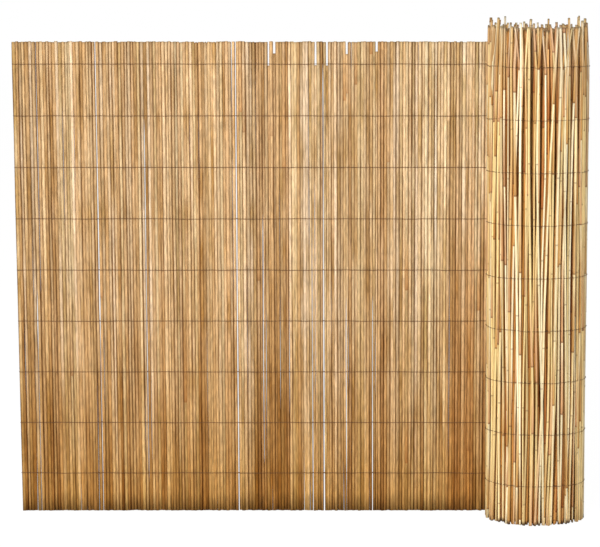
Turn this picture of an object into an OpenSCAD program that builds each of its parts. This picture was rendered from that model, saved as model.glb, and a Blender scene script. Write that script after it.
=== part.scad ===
// Reed screening, partly unrolled and standing on its end: dried reeds bound side by side by rows of wire.
// Millimetres. +Z is up, and the origin is on the floor at the middle of the footprint.
// The path of the reeds is one line seen from above: straight, a short peel-off bend, then a spiral
// of half turns that alternate between two centres, one turn pitch apart for each full turn.

/* [Screening] */
// Height of the trimmed reeds in the drawn-off length
screen_h = 1000; // [800:10:1200]
// Full length of the screening, along the path of its reeds
screen_len = 5000; // [4000:50:6000]
// Straight length drawn off the roll
drawn_len = 963; // [600:1:1500]
// How far the reed at the free end leans outward over its height, less for each reed towards the roll
free_lean = 13; // [0:1:25]

/* [Reeds] */
// Thickness of the thinnest reed
reed_d_min = 5.1; // [4.2:0.1:5.6]
// Thickness of the thickest reed
reed_d_max = 6.8; // [6.2:0.1:8]
// Gap between one reed and the next
reed_gap = 0.45; // [0.35:0.05:0.8]
// Gap at the few places where two reeds stand apart
wide_gap = 3.4; // [1:0.2:5]
// Thickness of the short reeds
short_d = 4.2; // [3:0.1:5]
// How far the ends of the rolled reeds stand above the trimmed height, at most
loose_top = 54; // [30:1:70]
// Unevenness of the rolled reeds at their upper ends
ragged_top = 21; // [5:1:30]
// Unevenness of the reeds at their lower ends
ragged_foot = 4; // [1:0.5:8]
// How far a short reed of the drawn-off length ends below the trimmed height
short_drop = 50; // [10:1:70]

/* [Roll] */
// Radius of the hollow that the innermost reeds leave, to the middle of a reed
core_r = 26; // [22:1:45]
// How far past the back of the roll the drawn-off length peels away, in degrees
peel_angle = 40; // [15:1:60]
// Radius of the bend where the screening peels away
peel_r = 80; // [60:5:120]

/* [Wires] */
// Number of binding rows
wire_rows = 9; // [6:1:12]
// Thickness of a binding wire
wire_d = 0.8; // [0.6:0.1:1.2]
// Height of the lowest binding row
wire_foot = 82; // [50:1:120]
// Distance of the highest binding row below the trimmed height
wire_head = 48; // [30:1:80]
// Running clearance between a wire and the thickest reed
wire_clear = 0.45; // [0.15:0.05:0.6]

/* [Hidden] */
$fn = 24;
// One turn takes the thickest reed, the wire over it and a clearance on each side of that wire
turn_pitch = reed_d_max + wire_d + 2 * wire_clear;
peel_len = peel_r * peel_angle * PI / 180;
rolled_len = screen_len - drawn_len - peel_len;
roll_r = sqrt(core_r * core_r + turn_pitch * rolled_len / PI);
// Direction from the axis of the roll to the point where the screening peels away
peel_dir = 90 + peel_angle;
// A row's wire is drawn in lengths that end this far apart
wire_break = 0.02;
// A wire's line lies this far from the line of the reeds
wire_off = reed_d_max / 2 + wire_clear + wire_d / 2;
// The inner of a row's two wires ends this many degrees short of the roll, where it meets the turn below
wire_stop = sqrt(2 * (wire_d + wire_clear) / (1 / roll_r + 1 / peel_r)) / peel_r * 180 / PI;

function unit(a) = [cos(a), sin(a)];

// Half turn 0 is the outermost one, and each inner half turn is half a turn pitch smaller
function half_r(j) = roll_r - j * turn_pitch / 2;
function half_centre(j) = (j % 2 == 0 ? 1 : -1) * turn_pitch / 4 * unit(peel_dir);
// The half turn that holds the point v inward of the peel-off point, and what is left of v on it
function find_half(v, j = 0) = v < PI * half_r(j) ? [j, v] : find_half(v - PI * half_r(j), j + 1);
function half_point(j, w) = half_centre(j) + half_r(j) * unit(peel_dir - 180 * j - w / half_r(j) * 180 / PI);

peel_centre = half_centre(0) + (roll_r + peel_r) * unit(peel_dir);
straight_y = peel_centre[1] - peel_r;
straight_end = peel_centre[0];

// A point of the reeds' line, u along the screening from its free end
function line_point(u) =
    u < drawn_len ? [straight_end - drawn_len + u, straight_y]
    : u < drawn_len + peel_len ? peel_centre + peel_r * unit(270 + (u - drawn_len) / peel_r * 180 / PI)
    : let (f = find_half(u - drawn_len - peel_len)) half_point(f[0], f[1]);

// The short reeds: number from the free end, and the part of short_drop that each falls short
short_reeds = [[81, 1], [83, 0.5], [97, 1], [101, 1], [108, 0.5], [118, 0.4]];
// Numbers of the reeds that stand apart from the one before
apart_reeds = [6, 26, 71];
function shortfall(i) = max(concat([0], [for (s = short_reeds) if (s[0] == i) s[1] * short_drop]));
function gap_before(i) = len([for (a = apart_reeds) if (a == i) a]) > 0 ? wide_gap : reed_gap;

// Thickness of each reed, and its place along the screening
most_reeds = ceil(screen_len / (reed_d_min + reed_gap)) + len(short_reeds);
thick_draw = rands(0, 1, most_reeds, 41);
function reed_d(i) = shortfall(i) > 0 ? short_d : reed_d_min + (reed_d_max - reed_d_min) * thick_draw[i];
reed_u = [
    for (i = 0, u = reed_d(0) / 2; u < screen_len - reed_d_max;
        u = u + (reed_d(i) + reed_d(i + 1)) / 2 + gap_before(i + 1), i = i + 1) u
];
reed_count = len(reed_u);
top_draw = rands(0, 1, most_reeds, 42);
foot_draw = rands(0, 1, most_reeds, 43);

// The drawn-off reeds lean outward, evenly less from the free end to the roll
function lean_angle(u) = atan(free_lean / screen_h) * max(0, 1 - u / drawn_len);

// The reeds up to the roll are trimmed even, and those of the roll are loose at their upper ends,
// with a few of the outer turn well above the rest
function is_drawn(i) = reed_u[i] < drawn_len + peel_len;
// One reed in eight stands on the floor, and the rest end just above it, those of the trimmed length closely
function foot_z(i) = i % 8 == 0 ? 0 : 0.3 + (is_drawn(i) ? 1 : ragged_foot) * foot_draw[i] * foot_draw[i];
function top_z(i) = screen_h + (is_drawn(i) ? -shortfall(i) - 2 * top_draw[i]
    : turn_of(i) == 1 ? loose_top - ragged_top * (1 - 0.15 * top_draw[i] - 0.85 * pow(top_draw[i], 9))
    : loose_top - ragged_top * (1.2 + 0.3 * top_draw[i]));

// Turn 1 is the outermost one. Half turns 0 and 1 make turn 1, and so on inward.
function turn_of(i) = is_drawn(i) ? 0
    : 1 + floor(find_half(reed_u[i] - drawn_len - peel_len)[0] / 2);
turns = turn_of(reed_count - 1);

function row_z(k) = wire_foot + (screen_h - wire_head - wire_foot) * (k - 1) / (wire_rows - 1);
function first_reed_x(z) = line_point(reed_u[0])[0] - z * tan(lean_angle(reed_u[0]));

// The footprint, with the wires, from which the origin is set
right_x = half_centre(0)[0] + half_r(0) + wire_off + wire_d / 2;
left_x = first_reed_x(row_z(wire_rows)) - wire_off - wire_d / 2;
back_y = half_centre(0)[1] + half_r(0) + wire_off + wire_d / 2;
front_y = half_centre(1)[1] - half_r(1) - wire_off - wire_d / 2;
middle = [(left_x + right_x) / 2, (front_y + back_y) / 2];

wire_names = [for (k = [1:wire_rows]) str("wire_row_", k)];
turn_names = [for (k = [1:turns]) str("turn_", k, "_reeds")];

module in_place() {
    translate([-middle[0], -middle[1], 0]) children();
}

module reed(i) {
    p = line_point(reed_u[i]);
    lean = lean_angle(reed_u[i]);
    // A leaning reed stands on the edge of its foot
    translate([p[0], p[1], foot_z(i) + reed_d(i) / 2 * sin(lean)]) rotate([0, -lean, 0])
        cylinder(d = reed_d(i), h = top_z(i) - foot_z(i));
}

module reeds_of_turn(k) {
    color("burlywood")
        in_place()
            for (i = [0:reed_count - 1])
                if (turn_of(i) == k) reed(i);
}

// A round wire bent about centre c, from angle a over the angle sweep
module wire_bend(c, r, a, sweep) {
    translate([c[0], c[1], 0]) rotate([0, 0, a])
        rotate_extrude(angle = sweep - wire_break / r * 180 / PI, $fn = 96) translate([r, 0]) circle(d = wire_d);
}

module wire_straight(start, y) {
    translate([start, y, 0]) rotate([0, 90, 0])
        cylinder(d = wire_d, h = straight_end - start - wire_break);
}

module wire_row(k) {
    start = first_reed_x(row_z(k));
    color("dimgray")
        in_place() translate([0, 0, row_z(k)]) {
            for (j = [0:2 * turns - 2])
                wire_bend(half_centre(j), half_r(j) + wire_off, peel_dir - 180 * (j + 1), 180);
            wire_bend(peel_centre, peel_r - wire_off, 270, peel_angle);
            wire_straight(start, straight_y + wire_off);
            wire_bend([start, straight_y], wire_off, 90, 180);
            wire_straight(start, straight_y - wire_off);
            wire_bend(peel_centre, peel_r + wire_off, 270, peel_angle - wire_stop);
        }
}

reeds_of_turn(0);  // drawn_reeds
for (k = [1:turns]) reeds_of_turn(k);
for (k = [1:wire_rows]) wire_row(k);
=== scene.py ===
"""Reed screening, partly unrolled and standing on its end, dressed over its CAD frame. Metres, +Z up."""
import math

import bpy
import numpy as np
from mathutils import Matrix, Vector


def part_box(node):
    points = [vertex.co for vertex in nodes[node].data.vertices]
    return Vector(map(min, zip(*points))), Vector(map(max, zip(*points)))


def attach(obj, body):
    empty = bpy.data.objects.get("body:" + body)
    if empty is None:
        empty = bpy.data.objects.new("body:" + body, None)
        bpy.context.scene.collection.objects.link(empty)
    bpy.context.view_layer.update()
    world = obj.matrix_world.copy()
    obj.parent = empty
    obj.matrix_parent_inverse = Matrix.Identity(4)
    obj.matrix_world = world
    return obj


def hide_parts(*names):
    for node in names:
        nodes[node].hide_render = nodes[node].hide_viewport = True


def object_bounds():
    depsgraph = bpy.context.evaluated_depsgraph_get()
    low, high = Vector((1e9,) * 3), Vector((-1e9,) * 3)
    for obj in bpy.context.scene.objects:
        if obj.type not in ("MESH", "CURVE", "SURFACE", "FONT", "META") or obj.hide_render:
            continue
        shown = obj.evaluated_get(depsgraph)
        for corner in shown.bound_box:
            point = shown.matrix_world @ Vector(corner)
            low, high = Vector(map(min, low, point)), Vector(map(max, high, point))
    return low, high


MM = 0.001
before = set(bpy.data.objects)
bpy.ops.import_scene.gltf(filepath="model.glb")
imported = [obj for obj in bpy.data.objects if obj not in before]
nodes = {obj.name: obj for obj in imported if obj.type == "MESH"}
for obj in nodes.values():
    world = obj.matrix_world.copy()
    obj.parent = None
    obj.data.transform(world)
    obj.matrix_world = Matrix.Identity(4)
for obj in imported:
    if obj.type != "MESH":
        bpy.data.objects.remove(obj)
cad_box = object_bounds()

BOX_LOW = np.array(cad_box[0])
BOX_HIGH = np.array(cad_box[1])

TURNS = sorted((n for n in nodes if n.startswith("turn_")), key=lambda n: int(n.split("_")[1]))
WIRES = sorted((n for n in nodes if n.startswith("wire_row_")), key=lambda n: int(n.split("_")[2]))
ROW_HEIGHTS = [(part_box(n)[0].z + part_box(n)[1].z) / 2 for n in WIRES]
# Height of the trimmed upper edge
TRIMMED = 1.0
FULL_TURN = 2 * math.pi

# How far a reed of the screening is from touching the next one
REED_GAP = 0.45 * MM
# Thickness of the wires, and how far they waver up and down
DRAWN_WIRE = 1.15 * MM
ROLL_WIRE = 0.95 * MM
DRAWN_WAVER = 0.5 * MM
ROLL_WAVER = 1.3 * MM
# Direction from the roll's middle to where the screening peels away
PEEL_DIRECTION = math.radians(130)
# The first reed of the roll stands this many radians before that place
TURN_START = 0.06
# A reed's end is its points within this height
END_REACH = 2 * MM
# Half the height of a dark joint, and the heights of its rings of points
JOINT_REACH = 1.3 * MM
JOINT_RINGS = (-2.2 * MM, -0.9 * MM, 0.9 * MM, 2.2 * MM)
# Least and greatest distance from one joint of a stem to the next
JOINT_STEPS = (0.13, 0.25)
# How much a dark joint and a sheath add to a reed's thickness, as shares of it
JOINT_SWELL = 0.16
SHEATH_SWELL = 0.06
# A sheath's old lower end, a dark tip and the painted contact shadow at a reed's foot fade over these heights
SHEATH_FADE = 22 * MM
TIP_FADE = 5 * MM
FOOT_SHADOW_FADE = 7 * MM
# How dry and dull bare stem and sheath are, where 1 is the most
STEM_DRY = 0.15
SHEATH_DRY = (0.2, 0.85)
# The hollow of a cut end: its width as a share of the reed, its depth, and the width of its floor
HOLLOW_WIDTH = 0.66
HOLLOW_DEPTH = 5 * MM
HOLLOW_FLOOR = 0.02
# The roll's reeds neither flare nor narrow at this share of the height
FLARE_LEVEL = 0.55

rng = np.random.default_rng(7)


def linear(hex_colour):
    """An sRGB hex colour as linear values."""
    parts = [int(hex_colour[i:i + 2], 16) / 255 for i in (1, 3, 5)]
    return np.array([c / 12.92 if c <= 0.04045 else ((c + 0.055) / 1.055) ** 2.4 for c in parts])


# Reeds of the CAD

def islands(mesh):
    """The vertex numbers of each separate solid in a mesh, by the places that its faces share."""
    co = np.empty(len(mesh.vertices) * 3)
    mesh.vertices.foreach_get("co", co)
    co = co.reshape(-1, 3)
    spots, place = np.unique(np.round(co, 6), axis=0, return_inverse=True)
    place = place.reshape(-1)
    edges = np.empty(len(mesh.edges) * 2, int)
    mesh.edges.foreach_get("vertices", edges)
    a, b = place[edges.reshape(-1, 2)].T
    label = np.arange(len(spots))
    while True:
        low = np.minimum(label[a], label[b])
        new = label.copy()
        np.minimum.at(new, a, low)
        np.minimum.at(new, b, low)
        new = new[new]
        if (new == label).all():
            break
        label = new
    return [spots[label == k] for k in np.unique(label)]


def read_reeds(name):
    """Foot, tip, radius at the foot and radius at the tip of each reed of a CAD node."""
    found = []
    for points in islands(nodes[name].data):
        low = points[points[:, 2] < points[:, 2].min() + END_REACH]
        high = points[points[:, 2] > points[:, 2].max() - END_REACH]
        foot = low.mean(axis=0)
        tip = high.mean(axis=0)
        foot_radius = np.linalg.norm(low[:, :2] - foot[:2], axis=1).max()
        tip_radius = np.linalg.norm(high[:, :2] - tip[:2], axis=1).max()
        found.append((foot, tip, foot_radius, tip_radius))
    return found


drawn = sorted(read_reeds("drawn_reeds"), key=lambda r: r[0][0])
REED_X = np.array([r[0][0] for r in drawn])
roll_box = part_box(TURNS[0])
ROLL_MIDDLE = np.array([(roll_box[0].x + roll_box[1].x) / 2, (roll_box[0].y + roll_box[1].y) / 2])


def round_the_roll(reed):
    """How far round its turn a reed stands, clockwise from where the screening peels away."""
    x, y = reed[0][:2] - ROLL_MIDDLE
    return (PEEL_DIRECTION - math.atan2(y, x) + TURN_START) % FULL_TURN


turns = [sorted(read_reeds(n), key=round_the_roll) for n in TURNS]

# What the reeds look like: dried stems, and the papery leaf sheaths that still wrap some of them
DRAWN_STEMS = ["#cba97e", "#ceac7f", "#c39d6f", "#bf996d", "#d2b48f", "#caa87d", "#b99263", "#cbad81"]
ROLLED_STEMS = ["#feedc0", "#fae2ae", "#f3d89a", "#fde7b8", "#eccd90", "#f6deaa", "#fdecc4", "#e8c382"]
DRAWN_SHEATHS = ["#c89d6c", "#c09462", "#cfa97c"]
ROLLED_SHEATHS = ["#dcb276", "#d2a462", "#d2a374", "#c99856", "#dcb080"]
PALE_STEM = linear("#f2dcae")
NODE_DARK = linear("#6b4220")
# What a sheath loses of each colour where it is oldest, at its lower end
SHEATH_DEEP = np.array([0.12, 0.2, 0.26])
# Where a reed is darker it is browner, and where it is lighter it is paler
BROWNING = np.array([0.75, 1.0, 1.5])
CUT_EDGE = linear("#e3cd9a")
# Painted shade inside the hollow of a cut end
HOLLOW_SHADE = linear("#2e1b0d")
FOOT_BROWN = linear("#a97b42")
# Painted contact shadow at the foot of some reeds
FOOT_SHADOW = linear("#3a2412")

# Where the gap between two reeds of the drawn-off length opens or closes: how far from the free end,
# between which heights, and by how much. It does so over GAP_EASE of height.
GAP_EASE = 0.06
GAP_CHANGES = [
    (0.041, 0.42, 1.10, -2.0 * MM),
    (0.041, -0.10, 0.40, -1.2 * MM),
    (0.171, -0.10, 0.44, -1.5 * MM),
    (0.171, 0.44, 1.10, -0.7 * MM),
    (0.461, -0.10, 1.10, -0.9 * MM),
    (0.268, 0.05, 0.86, 0.2 * MM),
    (0.512, 0.05, 0.66, 0.2 * MM),
    (0.619, -0.10, 0.72, 0.2 * MM),
    (0.642, -0.10, 0.97, 1.0 * MM),
    (0.686, -0.10, 0.48, 0.1 * MM),
    (0.742, -0.10, 0.48, 0.2 * MM),
]


def smooth_noise(t, seed, step):
    """A smooth random line through values between -1 and 1, one each step."""
    count = 400
    draws = np.random.default_rng(seed).uniform(-1, 1, count)
    # Steps are counted from 40 before zero, so that none is negative
    place = np.asarray(t) / step + 40
    before = np.floor(place).astype(int)
    share = place - before
    share = share * share * (3 - 2 * share)
    return draws[before % count] * (1 - share) + draws[(before + 1) % count] * share


def own_noise(t, step):
    """A smooth random line of one reed's own."""
    return smooth_noise(t, int(rng.integers(1e6)), step)


def patches(x, z, seed, wide, tall):
    """Smooth random patches between -1 and 1 over the drawn-off length, at one x and several heights."""
    level = np.asarray(z) / tall + 10
    below = np.floor(level).astype(int)
    share = level - below
    share = share * share * (3 - 2 * share)
    rows = {n: smooth_noise(x, seed + n, wide) for n in range(below.min(), below.max() + 2)}
    low = np.array([rows[n] for n in below])
    high = np.array([rows[n + 1] for n in below])
    return low * (1 - share) + high * share


def gap_change(number, z):
    """How far a drawn reed stands aside, and the share of its spread that it loses, where a gap changes."""
    aside = np.zeros(len(z))
    opened = np.zeros(len(z))
    for distance, low, high, width in GAP_CHANGES:
        after = np.searchsorted(REED_X, REED_X[0] + distance)
        if number in (after - 1, after):
            here = np.clip((z - low) / GAP_EASE, 0, 1) * np.clip((high - z) / GAP_EASE, 0, 1)
            aside += (width / 2 if number == after else -width / 2) * here
            opened += here * (width > 0)
    return aside, opened


class Strands:
    """Collects rings of vertices into one mesh, with a colour and a dryness for each vertex."""

    def __init__(self):
        self.co = []
        self.faces = []
        self.colour = []
        self.dry = []
        self.count = 0

    def tube(self, rings, sides, colours, dry, shadow=None, shadow_colour=None):
        """rings is (n, sides, 3). colours and dry hold one value a ring, and shadow one a vertex."""
        n = len(rings)
        shown = np.repeat(colours[:, None, :], sides, axis=1)
        if shadow is not None:
            shown = shown * (1 - shadow[:, :, None] * (1 - shadow_colour))
        index = self.count + np.arange(n * sides).reshape(n, sides)
        a = index[:-1]
        b = index[1:]
        quads = np.stack([a, np.roll(a, -1, 1), np.roll(b, -1, 1), b], axis=-1).reshape(-1, 4)
        self.faces.append(quads)
        self.co.append(rings.reshape(-1, 3))
        self.colour.append(shown.reshape(-1, 3))
        self.dry.append(np.repeat(dry, sides))
        self.count += n * sides

    def piece(self, name, material):
        """Makes the collected rings one object, kept inside the CAD box."""
        mesh = bpy.data.meshes.new(name)
        co = np.clip(np.concatenate(self.co), BOX_LOW, BOX_HIGH)
        quads = np.concatenate(self.faces)
        mesh.vertices.add(len(co))
        mesh.vertices.foreach_set("co", co.ravel())
        mesh.loops.add(quads.size)
        mesh.loops.foreach_set("vertex_index", quads.ravel())
        mesh.polygons.add(len(quads))
        mesh.polygons.foreach_set("loop_start", np.arange(len(quads)) * 4)
        mesh.update(calc_edges=True)
        mesh.validate()
        mesh.shade_smooth()
        tint = mesh.color_attributes.new("stem_colour", "FLOAT_COLOR", "POINT")
        rgba = np.ones((len(co), 4))
        rgba[:, :3] = np.concatenate(self.colour)
        tint.data.foreach_set("color", rgba.ravel())
        dryness = mesh.attributes.new("dryness", "FLOAT", "POINT")
        dryness.data.foreach_set("value", np.concatenate(self.dry))
        mesh.materials.append(material)
        piece = bpy.data.objects.new(name, mesh)
        bpy.context.scene.collection.objects.link(piece)
        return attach(piece, "root")


def stem_joints(foot, tip):
    """Heights of the joints of one stem, from somewhere below its foot to above its tip."""
    beyond = 0.2
    heights = []
    z = foot - rng.uniform(0, beyond)
    while z < tip + beyond:
        heights.append(z)
        z += rng.uniform(*JOINT_STEPS)
    return heights


def cut_end(ring, inward):
    """Lip, hollow and floor of a reed's cut end. inward is 1 for a foot and -1 for a tip."""
    centre = ring.mean(axis=0)
    lip = centre + (ring - centre) * HOLLOW_WIDTH
    sunk = lip + np.array([0, 0, inward * HOLLOW_DEPTH])
    floor = centre + (ring - centre) * HOLLOW_FLOOR + np.array([0, 0, inward * (HOLLOW_DEPTH + 0.5 * MM)])
    return np.array([lip, sunk, floor])


def add_reed(strands, reed, lean, look, number=None):
    """One reed. lean holds the directions along and out of the screening, number its place if drawn off."""
    foot, tip, foot_radius, tip_radius = reed
    radius = (foot_radius + tip_radius) / 2
    sides = look["sides"]
    stems = look["stems"]
    sheaths = look["sheaths"]
    length = tip[2] - foot[2]
    stem = linear(stems[rng.integers(len(stems))]) * rng.uniform(*look["tone"])
    if rng.random() < look["pale_share"]:
        stem = stem * 0.4 + PALE_STEM * 0.6
    joints = stem_joints(foot[2], tip[2])
    body = list(np.linspace(foot[2], tip[2], look["rings"]))
    marks = []
    wraps = []
    for low, high in zip(joints[:-1], joints[1:]):
        if rng.random() < look["sheath_share"] + look["sheath_above"] * (high > ROW_HEIGHTS[-1]):
            end = low + (high - low) * rng.uniform(0.5, 1.1)
            colour = linear(sheaths[rng.integers(len(sheaths))]) * rng.uniform(0.9, 1.08)
            wraps.append((low, end, colour))
            marks.append(low + 12 * MM)
        marks.extend(low + z for z in JOINT_RINGS)
    tones = 1 + look["segment"] * rng.uniform(-1, 1, len(joints))
    marks.append(tip[2] - 6 * MM)
    inner = [z for z in marks if foot[2] + 1 * MM < z < tip[2] - 1 * MM]
    # Some reeds get a painted contact shadow at the foot
    foot_shadowed = rng.random() < look["foot_shadow_share"]
    if foot_shadowed:
        inner += [foot[2] + 4 * MM, foot[2] + 10 * MM]
    z = np.array(sorted(body + inner))
    keep = np.concatenate([[True], np.diff(z) > 0.2 * MM])
    z = z[keep]
    share = (z - foot[2]) / length
    scale = np.ones(len(z))
    colours = np.tile(stem, (len(z), 1))
    dry = np.full(len(z), STEM_DRY)
    fade = own_noise(z, 0.07)
    fade = fade + 0.7 * own_noise(z, 0.23)
    # Streaks are darker than the stem more than they are lighter
    lightest = 0.4
    colours *= 1 + look["streak"] * np.minimum(fade, lightest)[:, None] * BROWNING
    for low, tone in zip(joints, tones):
        colours[z >= low] = colours[z >= low] * tone
        ring = np.abs(z - low) < JOINT_REACH
        scale[ring] += look["joint"] * JOINT_SWELL
        colours[ring] = colours[ring] * (1 - look["joint"]) + NODE_DARK * look["joint"]
    for low, end, colour in wraps:
        on = (z >= low - 1 * MM) & (z <= end)
        up = np.clip((z[on] - low) / max(end - low, 1e-6), 0, 1)[:, None]
        hold = 1 - up ** 3
        deep = 1 - np.clip(1 - (z[on] - low) / SHEATH_FADE, 0, 1)[:, None] * SHEATH_DEEP
        colours[on] = colour * deep * hold + stem * (1 - hold)
        scale[on] += SHEATH_SWELL * hold[:, 0]
        dry[on] = SHEATH_DRY[0] + (SHEATH_DRY[1] - SHEATH_DRY[0]) * hold[:, 0]
        nick = np.abs(z - low) < JOINT_REACH
        nick_share = 1.2 * look["joint"]
        colours[nick] = colours[nick] * (1 - nick_share) + NODE_DARK * nick_share
    tip_dark = np.clip(1 - (tip[2] - z) / TIP_FADE, 0, 1)
    colours *= (1 - look["tip_dark"] * tip_dark)[:, None]
    colours *= look["shade"](foot, z)
    # The painted contact shadow darkens the lowest millimetres of the reed
    if foot_shadowed:
        foot_shadow_mix = np.clip(1.4 - (z - foot[2]) / FOOT_SHADOW_FADE, 0, 0.9)[:, None]
        colours = colours * (1 - foot_shadow_mix) + FOOT_SHADOW * foot_shadow_mix
    # A reed thins towards its upper end. Some are bound upside down, and every other one where drawn off.
    thin_end = rng.choice((-1, 1)) if number is None else 2 * (number % 2) - 1
    taper = 1 + look["taper"] * thin_end * (1 - 2 * share)
    r = radius * rng.uniform(*look["girth"]) * scale * taper
    line = foot[None, :] * (1 - share[:, None]) + tip[None, :] * share[:, None]
    along, out = lean
    sway = 0.35 * MM * own_noise(z, 0.16) + rng.uniform(-0.3, 0.3) * MM
    sway = sway + look["wander"] * own_noise(z, look["wander_step"])
    sway = sway + rng.normal(0, look["slant"]) * (z / TRIMMED - 0.5)
    spread = np.full(len(z), look["spread"])
    if number is not None:
        aside, opened = gap_change(number, z)
        sway = sway + aside
        spread = spread * (1 - opened)
    splay = np.clip(z - ROW_HEIGHTS[-1], 0, 1) * rng.normal(0, look["loose"])
    depth = -look["recess"] * abs(rng.normal(0, 0.5)) + 0.25 * MM * own_noise(z, 0.2)
    depth = depth + look["flare"] * (z / TRIMMED - FLARE_LEVEL)
    tumble = -np.clip(z - ROW_HEIGHTS[-1], 0, 1) * abs(rng.normal(0, look["loose"]))
    line = line + (sway + splay)[:, None] * along + (depth + tumble)[:, None] * out
    turn = np.arange(sides) / sides * FULL_TURN + math.atan2(out[1], out[0])
    circle = np.stack([np.cos(turn), np.sin(turn), np.zeros(sides)], axis=1)
    # Painted shade: the flanks of a reed, where it meets the next reed, are painted darker and browner than
    # its face, as the shade between two reeds
    across = circle @ along
    side_shade_depths = rng.uniform(*look["side_shade_range"], 2)
    side_shade = np.abs(across) ** look["side_shade_power"] * np.where(across < 0, side_shade_depths[0], side_shade_depths[1])
    uneven = np.clip(0.5 + 0.8 * own_noise(z, 0.09), 0, 1)
    strength = look["side_shade"] * (0.4 + 0.6 * uneven)
    # Bound reeds touch, so each is a little wider along the row than the CAD rod
    oval = circle[None] + (spread / radius)[:, None, None] * (across[:, None] * along[None, :])[None]
    wall = line[:, None, :] + r[:, None, None] * oval
    wall[-1, :, 2] -= np.abs(rng.normal(0, 0.25) * r[-1] * circle[:, 0])
    foot_end = cut_end(wall[0], 1)
    tip_end = cut_end(wall[-1], -1)
    rings = np.concatenate([foot_end[::-1], wall, tip_end])
    # The hollows of the cut ends are painted dark as their shade
    foot_tints = [HOLLOW_SHADE, HOLLOW_SHADE, FOOT_BROWN]
    tip_tints = [CUT_EDGE * 0.8, HOLLOW_SHADE, HOLLOW_SHADE]
    tints = np.concatenate([foot_tints, colours, tip_tints])
    dry = np.concatenate([[1, 1, 1], dry, [1, 1, 1]])
    strength = np.concatenate([[0, 0, 0], strength, [0, 0, 0]])
    shadow = np.clip(strength[:, None] * side_shade[None, :], 0, 1)
    strands.tube(rings, sides, tints, dry, shadow, look["side_shade_colour"])


# Shades, as factors of a reed's red, green and blue

# Painted light: what the drawn-off reeds gain by the roll, against the roll's shade, and gain again in the
# last stretch
NEAR_ROLL_LIGHT = np.array([0.34, 0.43, 0.62])
LAST_STRETCH_LIGHT = np.array([0.14, 0.25, 0.34])
# Painted shadow: what they lose low down right beside the roll, in the roll's shadow
ROLL_SHADOW_LOSS = np.array([0.28, 0.42, 0.58])
# What is left of them at the floor
LOW_SHADE = np.array([0.73, 0.56, 0.27])
# What the upper ends of the outer turn gain
UPPER_GAIN = np.array([-0.1, -0.08, 0.04])
# What is left of the inner turns' reeds at their upper ends, and farther down, where painted shade stands for
# the shade of the turns around them
INNER_UPPER = np.array([0.94, 0.80, 0.68])
INNER_PAINTED_SHADE = np.array([0.68, 0.41, 0.19])


def drawn_shade(foot, z):
    """The drawn-off length is paler above, browner below, with light and dark patches. By the roll it has
    painted light against the roll's shade, and low down right beside the roll a painted shadow.
    """
    band = 0.015 * smooth_noise(foot[0] + 2, 11, 0.055)
    band = band + 0.05 * patches(foot[0] + 2, z, 300, 0.02, 0.14)[:, None]
    band = band + 0.09 * patches(foot[0] + 2, z, 400, 0.011, 0.1)[:, None]
    band = np.minimum(band, 0.07) + 0.02
    reach = TRIMMED * (0.58 + 0.16 * smooth_noise(foot[0] + 2, 13, 0.02))
    low = np.clip(1 - z / reach, 0, 1)[:, None] ** 1.2
    # One reed stands out from the next the more the lower down
    band = band + (0.1 + 0.42 * low) * smooth_noise(foot[0] + 2, 14, 0.0065)
    # The last stretch before the roll gets the most painted light, against the roll's shade, and is the most
    # even
    distance = foot[0] - REED_X[0]
    near = np.clip((foot[0] - REED_X[-1]) / 0.2 + 1, 0, 1)
    band = band * (1 - 0.6 * near)
    palest = np.clip((distance - 0.83) / 0.05, 0, 1) * np.clip(0.4 + z / 0.8, 0, 1)[:, None]
    # Painted light by the roll, against the shade that the roll casts on these reeds
    paler = 1 + near * NEAR_ROLL_LIGHT + palest * LAST_STRETCH_LIGHT
    # Below, right beside the roll, a painted shadow of the roll makes the reeds darker and browner
    beside = np.clip((distance - 0.895) / 0.02, 0, 1) - 0.5 * np.clip((distance - 0.95) / 0.02, 0, 1)
    beside = beside * np.clip((0.85 - z) / 0.45, 0, 1)[:, None]
    browner = 1 - beside * ROLL_SHADOW_LOSS
    # The lowest 24 mm are darker towards the floor
    near_floor = np.clip(1 - z / (24 * MM), 0, 1)[:, None]
    lower = 1 - low * (1 - LOW_SHADE)
    return (1 + band * BROWNING) * paler * browner * lower * (1 - 0.4 * near_floor)


def outer_shade(foot, z):
    """The upper ends of the rolled reeds are a little darker and less yellow."""
    upper = np.clip((z - 0.86 * TRIMMED) / 0.16, 0, 1)[:, None]
    return 1 + upper * UPPER_GAIN


def inner_shade(foot, z):
    """Inside the roll the reeds are a little browner at their upper ends, and below them painted darker and
    browner as the shade of the turns around them.
    """
    deep = np.clip((1.015 * TRIMMED - z) / (60 * MM), 0, 1)[:, None]
    return INNER_UPPER * (1 - deep) + INNER_PAINTED_SHADE * deep


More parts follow.
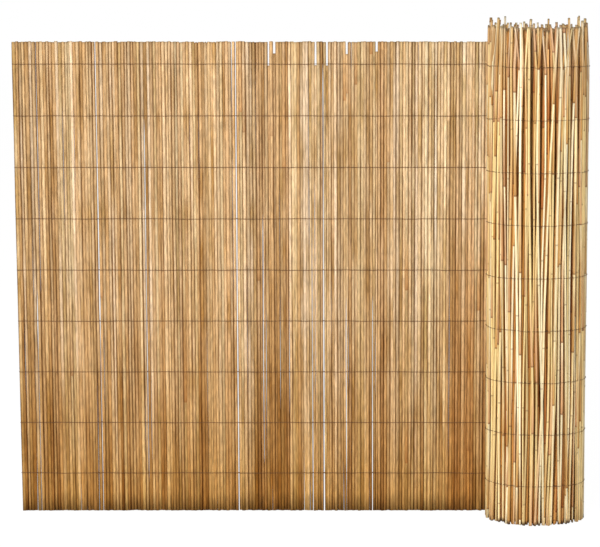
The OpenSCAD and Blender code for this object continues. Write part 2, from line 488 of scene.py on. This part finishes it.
# What a look's values say. sides and rings: points round a reed and along it. sheath_share: chance that a
# stretch between two joints is wrapped, and sheath_above what is added above the highest wires. streak and
# segment: how much a reed's tone changes along it and from joint to joint. joint and tip_dark: how dark those
# are. tone, girth and taper: range of brightness, range of thickness and thinning to one end. spread: width
# added along the row. loose: lean of the free upper ends. recess: depth a reed may stand back. flare: outward
# slope. wander and slant: sway to the sides and lean, in the row. The side shade: how dark the painted shade
# is on the sides of a reed, where two reeds meet.
DRAWN_LOOK = {
    "sides": 10, "rings": 26,
    "stems": DRAWN_STEMS, "sheaths": DRAWN_SHEATHS, "sheath_share": 0.03, "sheath_above": 0.0,
    "streak": 0.3, "segment": 0.08, "joint": 0.1, "tip_dark": 0.2, "tone": (0.98, 1.06),
    "taper": 0.06, "girth": (0.97, 1.03), "spread": 0.8 * MM,
    "loose": 0.004, "recess": 1.5 * MM, "flare": 0.0,
    "wander": 0.4 * MM, "wander_step": 0.36, "slant": 0.2 * MM, "pale_share": 0.0, "foot_shadow_share": 0.0,
    "side_shade": 2.6, "side_shade_range": (0.0, 1.0), "side_shade_power": 1.9,
    "side_shade_colour": np.array([0.25, 0.14, 0.05]), "shade": drawn_shade,
}
OUTER_LOOK = {
    "sides": 10, "rings": 26,
    "stems": ROLLED_STEMS, "sheaths": ROLLED_SHEATHS, "sheath_share": 0.42, "sheath_above": 0.45,
    "streak": 0.07, "segment": 0.12, "joint": 0.45, "tip_dark": 0.6, "tone": (0.87, 1.04),
    "taper": 0.06, "girth": (0.64, 0.92), "spread": 0.0,
    "loose": 0.065, "recess": 1.8 * MM, "flare": 2.6 * MM,
    "wander": 3.4 * MM, "wander_step": 0.25, "slant": 10 * MM, "pale_share": 0.08, "foot_shadow_share": 0.35,
    "side_shade": 1.12, "side_shade_range": (0.5, 1.0), "side_shade_power": 1.4,
    "side_shade_colour": np.array([0.46, 0.31, 0.12]), "shade": outer_shade,
}
# Inside the roll only the upper ends are seen well
INNER_LOOK = dict(
    OUTER_LOOK, sides=8, rings=8, recess=0.4 * MM, flare=0.0, shade=inner_shade, girth=(0.85, 1.0),
)


# Materials

def make_material(name):
    """A material with an empty node tree."""
    material = bpy.data.materials.new(name)
    material.use_nodes = True
    tree = material.node_tree
    tree.nodes.clear()
    return material, tree


def add(tree, kind, settings=None, **links):
    """Adds a node. A link is input=value or input=(node, output), with _ for a space in the input's name,
    and n0, n1 and so on for an input by its number."""
    node = tree.nodes.new(kind)
    for key, value in (settings or {}).items():
        setattr(node, key, value)
    for key, value in links.items():
        by_number = key[0] == "n" and key[1:].isdigit()
        socket = node.inputs[int(key[1:]) if by_number else key.replace("_", " ")]
        if isinstance(value, tuple) and hasattr(value[0], "outputs"):
            tree.links.new(value[0].outputs[value[1]], socket)
        else:
            socket.default_value = value
    return node


def reed_material(name, grain, ior):
    """Dried common reed, grown and cut: a smooth, slightly glossy straw skin with lengthwise fibres and
    small dark specks. Where it has weathered, grain and specks are stronger and the gloss is weaker."""
    material, tree = make_material(name)
    colour = add(tree, "ShaderNodeAttribute", {"attribute_name": "stem_colour"})
    dryness = add(tree, "ShaderNodeAttribute", {"attribute_name": "dryness"})
    place = add(tree, "ShaderNodeTexCoord")
    # Real fibres are a tenth of a millimetre wide. Here they are about 1.7 mm wide and 24 mm long, so that
    # they are seen from where the whole roll is seen.
    stretch = add(tree, "ShaderNodeMapping", Vector=(place, "Object"), Scale=(1.0, 1.0, 0.07))
    fibres = add(tree, "ShaderNodeTexNoise", Vector=(stretch, "Vector"), Scale=600.0, Detail=3.0)
    fibre_tone = add(tree, "ShaderNodeMapRange", Value=(fibres, "Fac"), From_Min=0.34, From_Max=0.66,
                     To_Min=1 - 0.24 * grain, To_Max=1 + 0.18 * grain)
    # Brown flecks of old bark, about 3 mm wide and 20 mm long
    speck_stretch = add(tree, "ShaderNodeMapping", Vector=(place, "Object"), Scale=(1.0, 1.0, 0.13))
    specks = add(tree, "ShaderNodeTexNoise", Vector=(speck_stretch, "Vector"), Scale=380.0, Detail=2.0)
    speck_tone = add(tree, "ShaderNodeMapRange", Value=(specks, "Fac"), From_Min=0.4, From_Max=0.72,
                     To_Min=1 + 0.1 * grain, To_Max=1 - 0.24 * grain)
    tone = add(tree, "ShaderNodeMath", {"operation": "MULTIPLY"},
               n0=(fibre_tone, "Result"), n1=(speck_tone, "Result"))
    tint = add(tree, "ShaderNodeVectorMath", {"operation": "SCALE"},
               n0=(colour, "Color"), Scale=(tone, "Value"))
    # Clean stem skin is satin, and papery sheaths and cut ends are dull
    rough = add(tree, "ShaderNodeMapRange", Value=(dryness, "Fac"), To_Min=0.35, To_Max=0.7)
    bump = add(tree, "ShaderNodeBump", Height=(fibres, "Fac"), Strength=0.25, Distance=0.0004)
    shader = add(tree, "ShaderNodeBsdfPrincipled", Base_Color=(tint, "Vector"), Roughness=(rough, "Result"),
                 Normal=(bump, "Normal"), IOR=ior)
    add(tree, "ShaderNodeOutputMaterial", Surface=(shader, "BSDF"))
    return material


def wire_material():
    """Thin drawn and annealed steel wire with a dull brown film of rust, which hides the metal's shine."""
    material, tree = make_material("weathered_wire")
    place = add(tree, "ShaderNodeTexCoord")
    # Lighter and darker rust change about every 8 mm along a wire
    rust = add(tree, "ShaderNodeTexNoise", Vector=(place, "Object"), Scale=120.0, Detail=3.0)
    # Inputs 6 and 7 and output 2 are the colours of a mix node
    mix = add(tree, "ShaderNodeMix", {"data_type": "RGBA"}, Factor=(rust, "Fac"),
              n6=(*linear("#74491f"), 1), n7=(*linear("#472b12"), 1))
    shader = add(tree, "ShaderNodeBsdfPrincipled", Base_Color=(mix, 2), Metallic=0.0, Roughness=0.75)
    add(tree, "ShaderNodeOutputMaterial", Surface=(shader, "BSDF"))
    return material


# Smooth plant skin has an IOR of about 1.5. Dust and fine fibres scatter part of its shine, so the values
# here are lower, most of all where the reeds have weathered.
WEATHERED_IOR = 1.2
CLEAN_IOR = 1.36
DRAWN_REED = reed_material("weathered_reed", 1.0, WEATHERED_IOR)
ROLLED_REED = reed_material("clean_reed", 0.45, CLEAN_IOR)
WIRE = wire_material()


# Pieces of reeds

strands = Strands()
for k, reed in enumerate(drawn):
    before = drawn[max(k - 1, 0)][0]
    after = drawn[min(k + 1, len(drawn) - 1)][0]
    along = (after - before) * np.array([1, 1, 0])
    along /= np.linalg.norm(along)
    out = np.array([along[1], -along[0], 0])
    add_reed(strands, reed, (along, out), DRAWN_LOOK, k)
piece = strands.piece("drawn_off_reeds", DRAWN_REED)
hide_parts("drawn_reeds")

for name, turn in zip(TURNS, turns):
    outer = name == TURNS[0]
    strands = Strands()
    for reed in turn:
        out = np.append(reed[0][:2] - ROLL_MIDDLE, 0)
        out /= np.linalg.norm(out)
        along = np.array([-out[1], out[0], 0])
        add_reed(strands, reed, (along, out), OUTER_LOOK if outer else INNER_LOOK)
    piece = strands.piece(name.replace("_reeds", "_of_roll"), ROLLED_REED)
    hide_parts(name)


# Wires

def wire_tube(strands, points, thick, sides=6):
    """A round wire through points."""
    points = np.asarray(points)
    step = np.gradient(points, axis=0)
    step /= np.linalg.norm(step, axis=1)[:, None]
    side = np.cross(step, np.array([0.0, 0.0, 1.0]))
    side /= np.linalg.norm(side, axis=1)[:, None]
    over = np.cross(side, step)
    turn = np.arange(sides) / sides * FULL_TURN
    ring = side[:, None] * np.cos(turn)[None, :, None] + over[:, None] * np.sin(turn)[None, :, None]
    rings = points[:, None] + ring * thick / 2
    strands.tube(rings, sides, np.zeros((len(points), 3)), np.zeros(len(points)))


def share_at(reed, z):
    """How far up a reed the height z is, from 0 at its foot to 1 at its tip."""
    return (z - reed[0][2]) / (reed[1][2] - reed[0][2])


def place_at(reed, z):
    """The middle of a reed at the height z."""
    return reed[0] + (reed[1] - reed[0]) * share_at(reed, z)


def radius_at(reed, z):
    """A reed's radius at the height z."""
    return reed[2] + (reed[3] - reed[2]) * share_at(reed, z)


def wire_side(reeds, z, side, seed, thick, waver, lift=0.0):
    """One wire along a row of reeds, over each reed and a little down between two of them."""
    centres = np.array([place_at(r, z) for r in reeds])
    radii = np.array([radius_at(r, z) for r in reeds]) + REED_GAP * 0.62
    along = np.gradient(centres, axis=0)
    along[:, 2] = 0
    along /= np.linalg.norm(along, axis=1)[:, None]
    normal = np.stack([along[:, 1], -along[:, 0], np.zeros(len(along))], axis=1) * side
    over = centres + normal * (radii * 1.04 + thick * 0.45 + lift)[:, None]
    middle = (over[:-1] + over[1:]) / 2
    dip = middle - (normal[:-1] + normal[1:]) / 2 * 0.9 * MM
    points = np.empty((len(over) * 2 - 1, 3))
    points[0::2] = over
    points[1::2] = dip
    distance = np.concatenate([[0], np.cumsum(np.linalg.norm(np.diff(points, axis=0), axis=1))])
    points[:, 2] = z + waver * smooth_noise(distance, seed, 0.045)
    points[:, 2] += 0.4 * waver * smooth_noise(distance, seed + 1, 0.012)
    return points


for k, (name, z) in enumerate(zip(WIRES, ROW_HEIGHTS)):
    strands = Strands()
    front = wire_side(drawn, z, 1, 50 + k, DRAWN_WIRE, DRAWN_WAVER)
    back = wire_side(drawn, z, -1, 80 + k, DRAWN_WIRE, DRAWN_WAVER)
    first = place_at(drawn[0], z)
    loop = []
    reach = radius_at(drawn[0], z) + REED_GAP + DRAWN_WIRE * 0.45
    for angle in np.radians(np.linspace(120, 240, 7)):
        loop.append(first + reach * np.array([math.cos(angle), math.sin(angle), 0]))
    free_end = np.concatenate([back[::-1], loop, front])
    wire_tube(strands, free_end, DRAWN_WIRE)
    # The outer turn's wire follows the reeds, which stand out more towards the top
    lift = OUTER_LOOK["flare"] * (z / TRIMMED - FLARE_LEVEL) - 1.4 * MM
    wire_tube(strands, wire_side(turns[0], z, -1, 110 + k, ROLL_WIRE, ROLL_WAVER, lift), ROLL_WIRE)
    for t, turn in enumerate(turns[1:-1]):
        inner_side = wire_side(turn, z, -1, 140 + 20 * t + k, ROLL_WIRE, ROLL_WAVER)
        wire_tube(strands, inner_side, ROLL_WIRE, sides=4)
    piece = strands.piece("binding_" + name, WIRE)
    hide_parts(name)


# Floor, light and camera

def lamp(name, place, aim, size, power, colour=(1, 1, 1)):
    """A square area lamp that points at aim."""
    data = bpy.data.lights.new(name, "AREA")
    data.shape = "SQUARE"
    data.size = size
    data.energy = power
    data.color = colour
    light = bpy.data.objects.new(name, data)
    light.location = place
    light.rotation_euler = (Vector(aim) - Vector(place)).to_track_quat("-Z", "Y").to_euler()
    bpy.context.scene.collection.objects.link(light)


def pale_floor():
    """A white studio floor. It keeps the shadow and shows nearly white to the camera."""
    material, tree = make_material("white_studio_floor")
    path = add(tree, "ShaderNodeLightPath")
    share = add(tree, "ShaderNodeMath", {"operation": "MULTIPLY"}, n0=(path, "Is Camera Ray"), n1=0.88)
    paper = add(tree, "ShaderNodeBsdfDiffuse", Color=(0.9, 0.9, 0.9, 1))
    glow = add(tree, "ShaderNodeEmission", Color=(1, 1, 1, 1), Strength=1.08)
    mix = add(tree, "ShaderNodeMixShader", n0=(share, "Value"), n1=(paper, "BSDF"), n2=(glow, "Emission"))
    add(tree, "ShaderNodeOutputMaterial", Surface=(mix, "Shader"))
    return material


bpy.ops.mesh.primitive_plane_add(size=40, location=(0, 0, -0.0005))
floor = bpy.context.object
floor.name = "studio_floor"
floor.data.materials.append(pale_floor())

world = bpy.data.worlds.new("studio")
bpy.context.scene.world = world
world.use_nodes = True
sky = world.node_tree
sky.nodes.clear()
path = add(sky, "ShaderNodeLightPath")
seen = add(sky, "ShaderNodeMath", {"operation": "MAXIMUM"},
           n0=(path, "Is Camera Ray"), n1=(path, "Is Glossy Ray"))
strength = add(sky, "ShaderNodeMapRange", Value=(seen, "Value"), To_Min=0.42, To_Max=1.0)
back = add(sky, "ShaderNodeBackground", Color=(1, 1, 1, 1), Strength=(strength, "Result"))
add(sky, "ShaderNodeOutputWorld", Surface=(back, "Background"))

lamp("key", (-1.0, -4.2, 2.4), (0.1, 0, 0.5), 1.6, 190, (0.985, 0.985, 0.95))
lamp("fill", (2.8, -3.2, 1.6), (0.2, 0, 0.5), 2.0, 12)

# The camera was fitted to the outline of the drawn-off length, in a picture 600 pixels wide
CAMERA_HEIGHT = 1.219
CAMERA_AWAY = 6.209
CAMERA_DOWN = math.radians(6.52)
FRAME_WIDTH = 600
FOCAL_PIXELS = 2953
SENSOR_WIDTH = 36
camera_data = bpy.data.cameras.new("camera")
camera_data.sensor_width = SENSOR_WIDTH
camera_data.lens = FOCAL_PIXELS / FRAME_WIDTH * SENSOR_WIDTH
camera = bpy.data.objects.new("camera", camera_data)
straight_line = float(np.median([r[0][1] for r in drawn]))
camera.location = (0.001, straight_line - CAMERA_AWAY, CAMERA_HEIGHT)
camera.rotation_euler = (math.pi / 2 - CAMERA_DOWN, 0, 0)
bpy.context.scene.collection.objects.link(camera)
bpy.context.scene.camera = camera
bpy.context.scene.view_settings.view_transform = "Standard"
